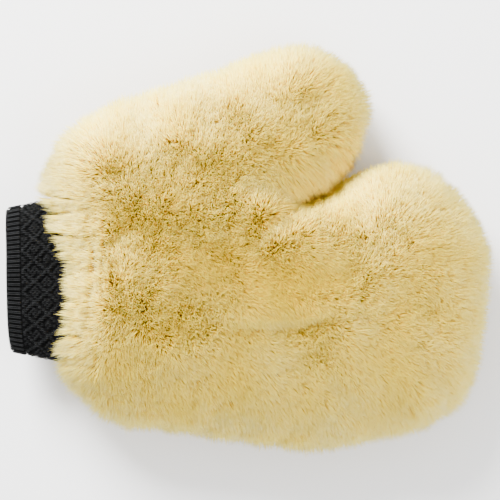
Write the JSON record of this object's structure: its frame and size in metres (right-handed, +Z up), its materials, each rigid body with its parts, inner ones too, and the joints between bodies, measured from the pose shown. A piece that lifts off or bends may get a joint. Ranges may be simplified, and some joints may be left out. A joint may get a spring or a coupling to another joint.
{
  "type": "wash mitt",
  "caption": "Thick lambswool wash mitt with a thumb, wool all round the outside and a black double-knit elasticated cuff, lying flat with its palm up.",
  "frame": {"origin": "middle of the mitt's base, where its back lies on the table", "axes": "+X from the cuff to the fingertips, +Y towards the thumb, +Z up out of the palm"},
  "size_m": [0.279, 0.235, 0.0581],
  "materials": {
    "lambswool_pile": "matt, dense combed wool pile, cream at the tips and golden at the roots",
    "tanned_hide": "suede side of tanned sheepskin",
    "overlock_thread": "spun polyester sewing thread",
    "black_knit": "matt double knit, ribbed at the rim and figured with lozenges",
    "elastic_webbing": "braided elastic"
  },
  "bodies": {
    "hand": {"edge_overlock_crotch": "overlock_thread", "edge_overlock_little_finger_side": "overlock_thread", "edge_overlock_thumb_side": "overlock_thread", "hand_back_fleece": "lambswool_pile", "hand_back_hide": "tanned_hide", "hand_palm_fleece": "lambswool_pile", "hand_palm_hide": "tanned_hide", "wrist_overlock": "overlock_thread"},
    "fingers": {"edge_overlock_fingertips": "overlock_thread", "finger_back_fleece": "lambswool_pile", "finger_back_hide": "tanned_hide", "finger_palm_fleece": "lambswool_pile", "finger_palm_hide": "tanned_hide"},
    "thumb": {"edge_overlock_thumb": "overlock_thread", "thumb_back_fleece": "lambswool_pile", "thumb_back_hide": "tanned_hide", "thumb_palm_fleece": "lambswool_pile", "thumb_palm_hide": "tanned_hide"},
    "cuff": {"knit_cuff": "black_knit", "cuff_elastic": "elastic_webbing"}
  },
  "joints": [
    {"name": "finger_curl", "type": "hinge", "parent": "hand", "child": "fingers", "pos_m": [0.02451, 0.00053, 0.043], "axis": [0, -1, 0], "range_deg": [0, 60], "stiffness_Nm_per_rad": 0.04},
    {"name": "thumb_spread", "type": "hinge", "parent": "hand", "child": "thumb", "pos_m": [-0.04436, 0.04554, 0.028], "axis": [0, 0, 1], "range_deg": [0, 20], "stiffness_Nm_per_rad": 0.04},
    {"name": "wrist_flex", "type": "hinge", "parent": "hand", "child": "cuff", "pos_m": [-0.10349, -0.01797, 0.028], "axis": [0, 1, 0], "range_deg": [-15, 15], "stiffness_Nm_per_rad": 0.15}
  ]
}
